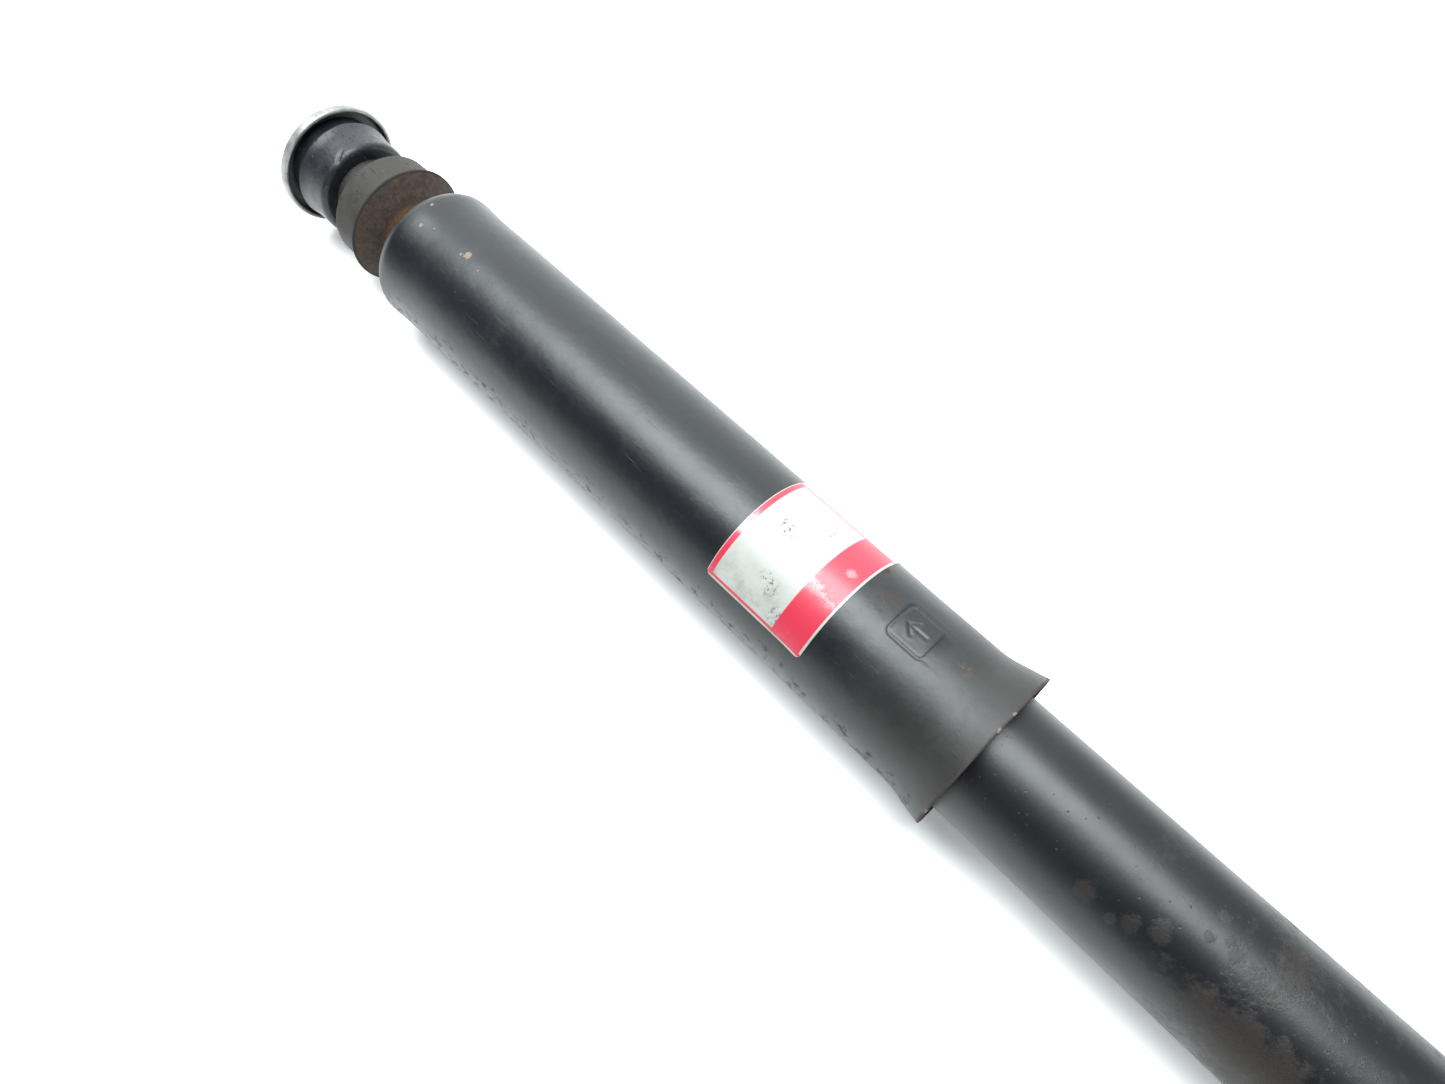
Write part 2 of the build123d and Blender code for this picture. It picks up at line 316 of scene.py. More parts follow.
class Paint(Graph):
    """A material under construction. Patterns read millimetres on the object."""

    def __init__(self, name):
        self.material = bpy.data.materials.new(name)
        self.material.use_nodes = True
        super().__init__(self.material.node_tree)
        self.tree.nodes.clear()
        place = self.node("ShaderNodeTexCoord", output="Object")
        self.place = self.node(
            "ShaderNodeVectorMath", {"operation": "SCALE"}, {0: place, "Scale": 1 / MM}
        )
        self.x, self.y, self.z = (
            self.node("ShaderNodeSeparateXYZ", None, {0: self.place}, output=axis) for axis in "XYZ"
        )

    @cached_property
    def angle(self):
        """Angle about X in degrees, 0 at the top, growing towards +Y."""
        return self.y.maths("ARCTAN2", self.y, self.z) * (180 / pi)

    @cached_property
    def radius(self):
        """Distance from the strut's axis in millimetres."""
        return (self.y * self.y + self.z * self.z).root()

    def noise(self, size, detail=4.0, rough=0.55, at=None, distortion=0.0):
        """Fractal noise whose features are about size millimetres across."""
        inputs = {
            "Vector": at or self.place, "Scale": 1 / size, "Detail": detail,
            "Roughness": rough, "Distortion": distortion,
        }
        return self.node("ShaderNodeTexNoise", None, inputs)

    def cells(self, size):
        """Distance to the nearest of scattered points about size millimetres apart."""
        return self.node("ShaderNodeTexVoronoi", None, {"Vector": self.place, "Scale": 1 / size})

    def stretched(self, along, across):
        """Millimetre coordinates squeezed along X and evened across."""
        inputs = {0: self.place, 1: (1 / along, 1 / across, 1 / across)}
        return self.node("ShaderNodeVectorMath", {"operation": "MULTIPLY"}, inputs)

    def unrolled(self, first, second):
        """Two distances as a place, for patterns that are the same all round."""
        return self.node("ShaderNodeCombineXYZ", None, {"X": first, "Y": second, "Z": 0.0})

    def spot(self, station, angle, size, surface_radius, ragged=0.5, soft=0.25):
        """A ragged spot round a place on a turned surface; station and size in millimetres."""
        across = (self.angle - angle) * (surface_radius * pi / 180)
        along = self.x - station
        reach = (along * along + across * across).root() / size
        edge = reach + (self.noise(size * 0.7, 6, 0.75) - 0.5) * (3 * ragged)
        return self.smooth(edge, 1.0, 1.0 - soft)

    def spots(self, places, surface_radius, ragged, soft=0.25):
        """The strongest of several spots: station, angle, size and, if it isn't 1, strength."""
        result = None
        for place in places:
            spot = self.spot(*place[:3], surface_radius, ragged, soft)
            spot = spot * place[3] if place[3:] else spot
            result = result.most(spot) if result else spot
        return result

    def band(self, value, low, high, soft):
        """1 between low and high."""
        rise = self.smooth(value, low - soft, low + soft)
        return rise * self.smooth(value, high + soft, high - soft)

    def coats(self, shade, *coats):
        """A colour under several coats, each a share and a colour."""
        for share, coat in coats:
            shade = self.mix(share, shade, coat)
        return shade

    def bump(self, height, depth, under=None):
        """Normal from a height between 0 and 1; depth is in millimetres."""
        inputs = {"Height": height, "Distance": depth * MM, "Strength": 1.0, "Normal": under}
        return self.node("ShaderNodeBump", None, inputs)

    def finish(self, **sockets):
        """Ends in a Principled shader. Socket names are written with underscores."""
        shader = self.node("ShaderNodeBsdfPrincipled")
        for key, value in sockets.items():
            value = rgba(value) if key.endswith("_Color") else value
            self.feed(shader.socket.node.inputs[key.replace("_", " ")], value)
        output = self.tree.nodes.new("ShaderNodeOutputMaterial")
        self.tree.links.new(shader.socket, output.inputs["Surface"])
        return self.material


# ---- Geometry Nodes ----

class Maker(Graph):
    """A Geometry Nodes tree with named inputs that adds to the geometry it is given."""

    def __init__(self, name):
        tree = bpy.data.node_groups.new(name, "GeometryNodeTree")
        super().__init__(tree)
        tree.interface.new_socket("Geometry", in_out="OUTPUT", socket_type="NodeSocketGeometry")
        self.entry = tree.nodes.new("NodeGroupInput")
        self.identifiers = {}
        self.base = self.entrance("Geometry", "NodeSocketGeometry")
        self.material = self.entrance("Material", "NodeSocketMaterial")

    def entrance(self, name, kind="NodeSocketFloat"):
        """A named input of the tree."""
        item = self.tree.interface.new_socket(name, in_out="INPUT", socket_type=kind)
        self.identifiers[name] = item.identifier
        return Value(self, self.entry.outputs[name])

    def along_x(self, geometry, station):
        """Turns what was made round Z to lie round X, at a station."""
        place = self.node("ShaderNodeCombineXYZ", None, {"X": station})
        inputs = {"Geometry": geometry, "Translation": place, "Rotation": (0, pi / 2, 0)}
        return self.node("GeometryNodeTransform", None, inputs)

    def finish(self, added):
        """Joins what was added to the base, as real faces with the material."""
        smooth = self.node("GeometryNodeSetShadeSmooth", None, {"Geometry": added})
        both = self.node("GeometryNodeJoinGeometry", None, {"Geometry": self.base})
        self.feed(both.socket.node.inputs["Geometry"], smooth)
        real = self.node("GeometryNodeRealizeInstances", None, {"Geometry": both})
        inputs = {"Geometry": real, "Material": self.material}
        painted = self.node("GeometryNodeSetMaterial", None, inputs)
        output = self.tree.nodes.new("NodeGroupOutput")
        self.tree.links.new(painted.socket, output.inputs["Geometry"])

    def apply(self, obj, **inputs):
        """Runs the tree on an object and keeps the result as its plain mesh."""
        modifier = obj.modifiers.new(self.tree.name, "NODES")
        modifier.node_group = self.tree
        for name, value in inputs.items():
            modifier[self.identifiers[name.replace("_", " ")]] = value
        bake_modifiers(obj)


def bake_modifiers(obj):
    """Replaces an object's mesh by its evaluated one and drops the modifiers."""
    graph = bpy.context.evaluated_depsgraph_get()
    graph.update()
    mesh = bpy.data.meshes.new_from_object(obj.evaluated_get(graph))
    obj.modifiers.clear()
    obj.data = mesh


POINTS_PER_RIPPLE = 6
BEAD_SIDES = 14
BEAD_LOW, BEAD_RIPPLE, BEAD_WANDER = 0.68, 0.30, 0.24  # shares of the bead's section
WANDER_SCALE = 160.0
THREAD_STEPS = 44  # per turn
THREAD_FADE = 0.06  # of the thread's run, at each end


def weld_maker():
    """A rippled weld bead round X."""
    maker = Maker("weld_bead")
    ripples = maker.entrance("Ripples", "NodeSocketInt")
    radius, section, station, seed = map(maker.entrance, ("Radius", "Section", "Station", "Seed"))
    inputs = {"Resolution": ripples * POINTS_PER_RIPPLE, "Radius": radius}
    circle = maker.node("GeometryNodeCurvePrimitiveCircle", None, inputs)
    turn = maker.node("GeometryNodeSplineParameter", output="Factor")
    wave = abs((turn * ripples * pi).sine())
    inputs = {"Scale": WANDER_SCALE, "W": seed}
    wander = maker.node("ShaderNodeTexNoise", {"noise_dimensions": "4D"}, inputs)
    swell = BEAD_LOW + wave * BEAD_RIPPLE + wander * BEAD_WANDER
    bead = maker.node("GeometryNodeSetCurveRadius", None, {"Curve": circle, "Radius": swell})
    inputs = {"Resolution": BEAD_SIDES, "Radius": section}
    profile = maker.node("GeometryNodeCurvePrimitiveCircle", None, inputs)
    tube = maker.node("GeometryNodeCurveToMesh", None, {"Curve": bead, "Profile Curve": profile})
    maker.finish(maker.along_x(tube, station))
    return maker


def thread_maker():
    """A screw thread round X, faded at both ends."""
    maker = Maker("screw_thread")
    names = ("Start", "Run", "Pitch", "Radius", "Depth")
    start, run, pitch, radius, depth = map(maker.entrance, names)
    spiral = maker.node("GeometryNodeCurveSpiral", None, {
        "Resolution": THREAD_STEPS, "Rotations": run / pitch, "Start Radius": radius,
        "End Radius": radius, "Height": run,
    })
    upright = maker.node("GeometryNodeSetCurveNormal", {"mode": "Z_UP"}, {"Curve": spiral})
    turn = maker.node("GeometryNodeSplineParameter", output="Factor")
    fade = maker.smooth(turn, 0.0, THREAD_FADE) * maker.smooth(turn, 1.0, 1 - THREAD_FADE)
    ridge = maker.node("GeometryNodeSetCurveRadius", None, {"Curve": upright, "Radius": fade})
    inputs = {"Resolution": 4, "Radius": depth}
    profile = maker.node("GeometryNodeCurvePrimitiveCircle", None, inputs)
    inputs = {"Curve": ridge, "Profile Curve": profile, "Fill Caps": True}
    tube = maker.node("GeometryNodeCurveToMesh", None, inputs)
    maker.finish(maker.along_x(tube, start))
    return maker


# ---- Meshes ----

ARC_STEP = radians(8)


def rounded(corners):
    """Closed outline from corners (station, radius[, rounding]), with rounded ones as arcs."""
    points = []
    for i, corner in enumerate(corners):
        here = Vector(corner[:2])
        if len(corner) < 3:
            points.append(here)
            continue
        rounding = corner[2]
        into = (Vector(corners[i - 1][:2]) - here).normalized()
        out = (Vector(corners[(i + 1) % len(corners)][:2]) - here).normalized()
        half = into.angle(out) / 2
        centre = here + (into + out).normalized() * rounding / sin(half)
        spoke = here + into * rounding / tan(half) - centre
        sweep = (pi - 2 * half) * (1 if into.cross(out) < 0 else -1)
        steps = max(2, ceil(abs(sweep) / ARC_STEP))
        points += [centre + Matrix.Rotation(sweep * k / steps, 2) @ spoke for k in range(steps + 1)]
    return points


def spaced(points, step):
    """Outline with points added on its long runs. step is the longest run allowed, or a function
    that gives it at a place."""
    result = []
    for i, point in enumerate(points):
        after = points[(i + 1) % len(points)]
        result.append(point)
        place = point
        while True:
            reach = step(place) if callable(step) else step
            left = (after - place).length
            if left <= 1.5 * reach:
                break
            place = place + (after - place) * (reach / left)
            result.append(place)
    return result


def even_angles(count):
    return [2 * pi * i / count for i in range(count)]


def turned(name, outline, angles=None, relief=None, across=False):
    """Mesh of a closed outline turned about X. relief(station, angle) moves points outwards;
    angles are from +Z towards +Y. With across the result lies along Y."""
    angles = angles or even_angles(128)
    corners, rows = [], []
    for station, radius in outline:
        on_axis = radius < 1e-7
        rows.append((len(corners), on_axis))
        for angle in angles[:1] if on_axis else angles:
            reach = radius + (relief(station, angle) if relief and not on_axis else 0)
            corners.append((station, reach * sin(angle), reach * cos(angle)))
    faces = []
    for i, (here, here_on_axis) in enumerate(rows):
        there, there_on_axis = rows[(i + 1) % len(rows)]
        for j in range(len(angles)):
            k = (j + 1) % len(angles)
            if here_on_axis and there_on_axis:
                break
            if here_on_axis:
                faces.append((here, there + j, there + k))
            elif there_on_axis:
                faces.append((here + k, here + j, there))
            else:
                faces.append((here + j, there + j, there + k, here + k))
    mesh = bpy.data.meshes.new(name)
    mesh.from_pydata(corners, [], faces)
    if across:
        mesh.transform(Matrix.Rotation(pi / 2, 4, "Z"))
    return outward(mesh)


def outward(mesh):
    """Turns a closed mesh's faces outwards."""
    shell = bmesh.new()
    shell.from_mesh(mesh)
    if shell.calc_volume(signed=True) < 0:
        bmesh.ops.reverse_faces(shell, faces=shell.faces[:])
    shell.to_mesh(mesh)
    shell.free()
    return mesh


def placed(name, mesh, material, sharp=32):
    """Object of a finished mesh, smooth but for its sharp edges."""
    mesh.shade_smooth()
    mesh.set_sharp_from_angle(angle=radians(sharp))
    mesh.materials.clear()
    mesh.materials.append(material)
    obj = bpy.data.objects.new(name, mesh)
    bpy.context.scene.collection.objects.link(obj)
    return obj


def fit(obj, body, slot, *nodes):
    """Puts a piece on its body in place of CAD nodes."""
    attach(obj, body)
    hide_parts(*nodes)


def bell(value, width):
    """1 at 0, fading away over about width."""
    return exp(-((value / width) ** 2))


def wobble(seed, *place):
    """Smooth noise between -1 and 1."""
    return noise.noise(Vector(place) + Vector((seed, seed, seed)))


def grain(seed, size, depth):
    """Relief of gentle lumps for a turned piece, in metres."""
    def relief(station, angle):
        return depth * wobble(seed, station / size, sin(angle) * 2.5, cos(angle) * 2.5)
    return relief


# ---- Materials ----

COVER_MM, TUBE_MM = COVER_R / MM, TUBE.radius / MM
DEGREE_ARC = pi / 180 * COVER_MM  # millimetres of cover per degree
OPEN_END, CLOSED_END = COVER.start / MM, COVER.end / MM

# Worn places: station in millimetres, angle in degrees, size in millimetres, strength if not 1.
COVER_CHIPS = (
    (550.6, 5.6, 1.9), (553.2, 8.4, 0.9), (583.2, -6.1, 0.8), (577.7, 12.7, 1.1), (572.2, 7.5, 0.5),
    (541.5, 9.5, 0.6), (275.3, -6.8, 0.9), (275.2, 6.3, 0.9), (275.1, 73, 1.1),
)
LABEL_MARKS = (
    (372.5, -1, 5.5), (362, 36, 4.5, 0.9), (366, 31, 3.0, 0.8), (354, 49, 6.0, 0.7),
    (350, 36, 2.5, 0.6), (361, -22, 2.5, 0.6), (378, 10, 2.5, 0.5),
)
TUBE_PATCHES = (
    (216, 47, 2.4), (211, 40, 3.6), (204, 30, 4.32), (194, 10, 1.92), (186, 8, 3.12), (194, -8, 2.4),
    (189, 3, 2.16), (176, 14, 2.88),
)

# Label: edges of the sheet and place of the far line in degrees, lines of the border as their two
# sides in millimetres from an edge.
LABEL_NEAR, LABEL_FAR, FAR_LINE_PLACE = 60, -85, -49.5
NEAR_LINE, FAR_LINE, STEM_LINE, BROAD_START = (0.8, 2.0), (0.3, 1.9), (0.3, 2.5), 0.9
PRINT_SOFT = 0.12


def times(shade, factor):
    """A colour made darker or lighter."""
    return [c * factor for c in shade]


def cover_paint(look):
    """Satin black paint: hazed, speckled, grimy at the open end, rusty along the edges."""
    paint = Paint("cover_black_paint")
    from_open = paint.x - OPEN_END
    to_closed = CLOSED_END - paint.x
    cloud = paint.noise(30, 5, 0.6)
    fine = paint.noise(1.4, 4, 0.6)
    ragged = paint.noise(5, 7, 0.7)
    scuffs = paint.smooth(paint.noise(1.0, 3, 0.6, at=paint.stretched(22, 0.9)), 0.64, 0.74)
    haze = paint.smooth(paint.noise(11, 7, 0.7, distortion=0.6), 0.46, 0.72)
    side = abs(paint.angle)

    grime = paint.smooth(from_open + (cloud - 0.5) * 80, 66, 4) * (0.35 + ragged * 0.9)
    film = to_closed + (ragged - 0.5) * 10 - paint.smooth(paint.angle, 35, 90) * 7
    film = paint.smooth(film, 8, 0)
    grime = (grime + film * 0.8).held()
    low_side = paint.band(side, 74, 128, 14)
    edge_rust = paint.smooth(ragged + low_side * 0.13, 0.645, 0.76) * paint.smooth(side, 50, 78)
    rim_rust = paint.smooth(from_open + (ragged - 0.5) * 2.8, 1.3, 0.3)
    stain = paint.spot(331, -12, 12, COVER_MM, 0.6, 0.9) * paint.smooth(ragged, 0.40, 0.62)
    stain = stain.most(paint.spot(339, -31, 2.2, COVER_MM, 0.5) * 1.4)
    flake = paint.spot(297, -10, 4.2, COVER_MM, 0.7, 0.9) * paint.smooth(ragged, 0.46, 0.58)
    rust = edge_rust.most(rim_rust * 0.8).most(stain * 0.75).held()

    chips = paint.spots(COVER_CHIPS, COVER_MM, 0.9)
    dust = paint.smooth(paint.cells(6.5), 0.075, 0.03) * paint.smooth(paint.noise(16), 0.48, 0.62)
    crumbs = paint.smooth(paint.noise(0.5, 4, 0.7), 0.42, 0.58)

    shade = paint.coats(
        look.paint, (haze * 0.45, (0.0085, 0.0105, 0.0125)), (grime * 0.6, look.grime),
        (rust, paint.mix(fine, look.rust, times(look.rust, 0.35))),
        (flake * 0.8, (0.085, 0.048, 0.020)),
        ((dust * 0.45 + scuffs * 0.09).held(), (0.075, 0.070, 0.062)),
        (chips, paint.mix(crumbs, look.bare, (0.215, 0.180, 0.150))),
    )
    rough = 0.30 + flake * 0.3 + cloud * 0.12 + haze * 0.05 + grime * 0.16
    rough = rough + rust * 0.35 + scuffs * 0.12 + chips * 0.3
    lumps = paint.bump(paint.noise(9, 3), 0.16)
    height = fine * 0.2 + rust * ragged * 0.9 - chips * 0.8 - scuffs * 0.25
    return paint.finish(
        Base_Color=shade, Roughness=rough, Normal=paint.bump(height, 0.09, lumps), Specular_IOR_Level=0.5
    )


def label_print(look):
    """White label with a red border and a broad red band, worn where it was printed, and whitened along a
    streak as a painted highlight.
    """
    paint = Paint("printed_label")
    from_flare = paint.x - LABEL.start / MM
    from_stem = LABEL.end / MM - paint.x
    from_near = (LABEL_NEAR - paint.angle) * DEGREE_ARC
    from_far = (paint.angle - FAR_LINE_PLACE) * DEGREE_ARC
    worn = paint.noise(7, 6, 0.7)
    fine = paint.noise(0.6, 4, 0.7)
    broad = paint.band(from_flare, BROAD_START, look.label_band / MM, PRINT_SOFT)
    thin = paint.band(from_near, *NEAR_LINE, PRINT_SOFT)
    thin = thin.most(paint.band(from_far, *FAR_LINE, PRINT_SOFT))
    # Painted highlight: the thin top red line is whitened in a band 12 to 21 degrees round, where the
    # lamp's streak falls.
    painted_highlight_streak = paint.band(paint.angle + (worn - 0.5) * 18, 12, 21, 3)
    top = paint.band(from_stem, *STEM_LINE, PRINT_SOFT) * (1 - painted_highlight_streak * 0.9)
    inside = paint.smooth(from_near.least(from_far), 0.6, 0.75) * paint.smooth(from_stem, 0.2, 0.4)
    # White patches in a band 10 to 19 degrees round: partly real rubbed wear, partly painted highlight
    # along the lamp's streak.
    rubbed = paint.band(paint.angle + (worn - 0.5) * 40, 10, 19, 5)
    rubbed = rubbed * paint.smooth(worn + fine * 0.4, 0.62, 0.80)
    rubbed = rubbed.most(paint.spot(345, -8, 2.2, COVER_MM, 0.7, 0.5) * 0.5)
    # Red is taken out where the print is worn off and where the painted highlight falls.
    worn_off_and_highlight = (rubbed * 0.8).most(paint.smooth(worn, 0.62, 0.75) * 0.3)
    red = broad.most(thin).most(top) * inside * (1 - worn_off_and_highlight)

    broken = paint.smooth(paint.noise(1.2, 4, 0.7), 0.50, 0.54)
    rows = 0.35 + paint.smooth((paint.x * 2.1).sine(), -0.2, 0.4) * 0.65
    marks = paint.spots(LABEL_MARKS, COVER_MM, 0.6, 0.7) * broken * rows
    # Greyer and greenish towards the label's near edge, in mottled patches.
    dirt = paint.smooth(worn, 0.38, 0.66) * paint.smooth(from_near, 24, 2)
    rim = paint.smooth(from_near.least(from_flare).least(from_stem), 0.5, 0.0) * worn

    shade = paint.coats(
        look.label_white, (dirt * 0.55, (0.170, 0.195, 0.130)), (marks * 0.9, (0.018, 0.024, 0.024)),
        (red, look.label_red), ((rim * 0.7).held(), (0.22, 0.17, 0.12)),
    )
    return paint.finish(
        Base_Color=shade, Roughness=0.34 + worn * 0.16,
        Normal=paint.bump(worn + fine * 0.15, 0.12), Coat_Weight=0.25, Coat_Roughness=0.22,
    )


def tube_paint(look):
    """Satin black paint over steel, with brown rust that grows towards the eye."""
    paint = Paint("tube_black_paint")
    cloud = paint.noise(26, 5, 0.62, distortion=0.4)
    ragged = paint.noise(4.2, 8, 0.72)
    fine = paint.noise(0.9, 4, 0.6)
    towards_eye = paint.smooth(paint.x, 225, 150)
    facing = paint.smooth(paint.angle + (cloud - 0.5) * 60, 18, 48)
    facing = facing * paint.smooth(paint.angle, 120, 70)
    spread = cloud * 0.55 + ragged * 0.45
    sheet = paint.smooth(spread + towards_eye * 0.22 * (0.45 + facing * 0.75), 0.55, 0.74)
    sheet = sheet * paint.smooth(paint.x, 238, 205)
    patches = paint.spot(226, 45, 4.0, TUBE_MM, 0.6, 0.7)
    patches = patches.most(paint.spots(TUBE_PATCHES, TUBE_MM, 0.7, 0.7))
    rust = (sheet * 0.85).most(patches * 0.6).held()
    pits = paint.smooth(paint.cells(2.6), 0.22, 0.08) * paint.smooth(ragged, 0.5, 0.62)

    shade = paint.mix(rust, look.paint, paint.mix(fine, look.rust, times(look.rust, 0.3)))
    shade = paint.mix(rust * paint.smooth(ragged, 0.56, 0.66) * 0.5, shade, (0.034, 0.018, 0.010))
    shade = paint.mix(pits * 0.5, shade, (0.012, 0.008, 0.006))
    rough = 0.33 + cloud * 0.12 + rust * 0.22 + pits * 0.1
    lumps = paint.bump(paint.noise(11, 3), 0.09)
    height = fine * 0.12 + rust * (0.3 + ragged * 0.8) - pits * 0.5
    return paint.finish(
        Base_Color=shade, Roughness=rough, Normal=paint.bump(height, 0.12, lumps), Specular_IOR_Level=0.5
    )


def rusty_steel(look):
    """Brown rust all over, brighter towards the neck, with painted shade in a ring beside the cover and
    along the rim.
    """
    paint = Paint("rusty_retainer")
    mottle = paint.noise(3.6, 8, 0.74)
    fine = paint.noise(0.8, 6, 0.75)
    neck = paint.smooth(paint.radius + (mottle - 0.5) * 7, 17.5, 14.2)
    # Painted shade: a dark ring at 15.5 to 19 mm radius, where the dish sits against the cover's closed
    # end.
    ring = paint.band(paint.radius + (mottle - 0.5) * 12, 15.5, 19.0, 1.4)
    dark = paint.smooth(paint.noise(2.4, 7, 0.8), 0.50, 0.62).most(ring * 0.8)
    # Painted shade: a thin dark line along the rim, where the dish meets the lower cushion; it is also
    # made rough and not metallic so no highlight shows there.
    edge = paint.smooth(paint.radius, DISH.radius / MM - 0.9, DISH.radius / MM - 0.45)
    dull, bright = times(look.dish_rust, 0.4), times(look.dish_rust, 1.35)
    shade = paint.mix(paint.smooth(mottle, 0.3, 0.7), dull, bright)
    shade = paint.coats(
        # Dark rust spots together with the painted shade ring.
        shade, (dark * 0.7, (0.015, 0.010, 0.008)),
        (paint.smooth(fine, 0.56, 0.68) * 0.4, (0.17, 0.11, 0.075)),
        (neck * paint.smooth(fine + mottle, 0.70, 1.10), look.neck_rust),
        # Painted shade along the rim.
        (edge * 0.9, (0.008, 0.006, 0.006)),
    )
    height = mottle * 0.6 + fine * 0.6
    return paint.finish(
        Base_Color=shade, Roughness=0.68 + mottle * 0.2 + edge * 0.1, Metallic=0.12 - edge * 0.12,
        Normal=paint.bump(height, 0.34),
    )


def weathered_rubber(name, shade, dusty, rough, dust=0.5):
    """Rubber with a dust film, small nicks and moulding grain."""
    paint = Paint(name)
    cloud = paint.noise(9, 5, 0.62)
    fine = paint.noise(0.8, 4, 0.65)
    smears = paint.noise(2.6, 4, 0.6, at=paint.stretched(1.2, 4.5))
    nicks = paint.smooth(paint.cells(4.2), 0.13, 0.06) * paint.smooth(paint.noise(7), 0.47, 0.56)
    cuts = paint.noise(1.6, 5, 0.7, at=paint.stretched(2.6, 0.8), distortion=0.8)
    cuts = paint.smooth(cuts, 0.60, 0.66)
    film = paint.smooth(cloud, 0.35, 0.7) * 0.6 + paint.smooth(smears, 0.46, 0.70) * 0.6
    film = film.held() * dust
    tone = paint.coats(
        shade, (film, dusty), (paint.smooth(fine, 0.55, 0.70) * dust * 0.5, times(dusty, 1.8)),
        (nicks * 0.7, (0.075, 0.062, 0.048)), (cuts * 0.7, times(shade, 0.4)),
    )
    height = fine * 0.35 + cloud * 0.3 - nicks * 0.8 - cuts * 0.7
    return paint.finish(
        Base_Color=tone, Roughness=rough + film * 0.25 + nicks * 0.1, Normal=paint.bump(height, 0.30),
        Specular_IOR_Level=0.45,
    )


def plated_steel(look):
    """Dull zinc with a faint spangle, and painted shade darkening its hollow."""
    paint = Paint("zinc_plate")
    cloud = paint.noise(5, 5, 0.6)
    fine = paint.noise(0.5, 4, 0.7)
    rings = paint.noise(0.45, 2, 0.5, at=paint.unrolled(paint.radius, paint.x))
    hollow = paint.band(paint.x, CUP.start / MM + 0.8, CUP.end / MM - 1.0, 0.3)
    # Painted shade: the inside of the cup's hollow is made dark and less metallic, as the shade between
    # the cup and the cushion.
    inner = paint.smooth(paint.radius, CUP.radius / MM - 1.5, CUP.radius / MM - 2.0) * hollow
    shade = paint.mix(paint.smooth(cloud, 0.35, 0.65), times(look.zinc, 0.6), look.zinc)
    shade = paint.coats(
        shade, (paint.smooth(fine, 0.54, 0.68) * 0.55, (0.15, 0.14, 0.12)),
        # Painted shade in the hollow.
        (inner * 0.92, (0.020, 0.020, 0.022)),
    )
    return paint.finish(
        Base_Color=shade, Metallic=0.55 - inner * 0.5, Roughness=0.34 + cloud * 0.16 + fine * 0.06,
        Normal=paint.bump(fine * 0.4 + rings * 0.5, 0.05),
    )


def steel(name, shade, rough, brushed, tint=None):
    """Machined or ground steel with turning marks and a few darker stains."""
    paint = Paint(name)
    marks = paint.noise(0.3, 3, 0.6, at=paint.unrolled(paint.x, paint.radius))
    stain = paint.smooth(paint.noise(6, 6, 0.65), 0.52, 0.72)
    fine = paint.noise(0.5, 4, 0.7)
    tone = paint.mix(marks * brushed, shade, times(shade, 0.6))
    tone = paint.mix(stain * 0.4, tone, tint or times(shade, 0.45))
    return paint.finish(
        Base_Color=tone, Metallic=1.0, Roughness=rough + stain * 0.12 + fine * 0.08,
        Normal=paint.bump(marks * brushed + fine * 0.3, 0.03),
    )


def spring_steel():
    """Blued spring steel."""
    return steel("blued_spring_steel", (0.20, 0.21, 0.25), 0.24, 0.25, tint=(0.20, 0.13, 0.07))


def sintered():
    """Pressed powder metal: grey, porous and finely speckled."""
    paint = Paint("sintered_metal")
    grey = (0.21, 0.20, 0.19)
    pores = paint.smooth(paint.cells(0.55), 0.30, 0.12)
    cloud = paint.noise(5, 4)
    shade = paint.mix(cloud, grey, times(grey, 1.5))
    shade = paint.mix(pores * 0.8, shade, (0.03, 0.03, 0.03))
    return paint.finish(
        Base_Color=shade, Metallic=0.85, Roughness=0.42 + cloud * 0.15, Normal=paint.bump(1 - pores, 0.05)
    )


def slide_plastic(name, shade):
    """Filled slide plastic with a drawn grain."""
    paint = Paint(name)
    fine = paint.noise(0.35, 4, 0.7)
    rubbed = paint.smooth(paint.noise(3, 5, 0.6, at=paint.stretched(4, 0.6)), 0.45, 0.7)
    tone = paint.mix(rubbed * 0.6, shade, [min(1, c * 1.7) for c in shade])
    tone = paint.mix(fine * 0.3, tone, times(shade, 0.5))
    return paint.finish(
        Base_Color=tone, Roughness=0.5 - rubbed * 0.15, Normal=paint.bump(fine, 0.03)
    )


def pale_floor(shade, glow):
    """Plain pale board that gives off a little light."""
    paint = Paint("pale_floor")
    cloud = paint.noise(160, 3)
    return paint.finish(
        Base_Color=paint.mix(cloud, shade, times(shade, 0.97)), Roughness=0.55,
        Normal=paint.bump(paint.noise(0.8, 3), 0.02), Specular_IOR_Level=0.3,
        Emission_Color=(0.95, 0.99, 1.0), Emission_Strength=glow,
    )


def repaint(material, *nodes):
    """Gives CAD nodes a finish."""
    for name in nodes:
        for slot in frame["nodes"][name].material_slots:
            slot.material = material


# ---- Pieces ----

class Build:
    """What the building operators share."""

    bl_options = {"REGISTER", "UNDO"}

    def execute(self, context):
        """Builds the pieces from their group of settings, unless they are there already."""
        if self.makes in bpy.data.objects:
            raise RuntimeError(f"{self.makes} is already built")
        self.build(context.scene, getattr(context.scene, self.settings))
        return {"FINISHED"}


def two_step_angles(first, last, fine, coarse):
    """Angles round a turn, close together from first to last."""
    near, rest = last - first, 2 * pi - (last - first)
    close, far = ceil(near / fine), ceil(rest / coarse)
    angles = [first + near * i / close for i in range(close)]
    return angles + [last + rest * i / far for i in range(far)]


STAMP_ANGLE = radians(-9)
STAMP_REACH = 1.3  # of the stamped frame's half width
STAMP_STEP = 0.36 * MM


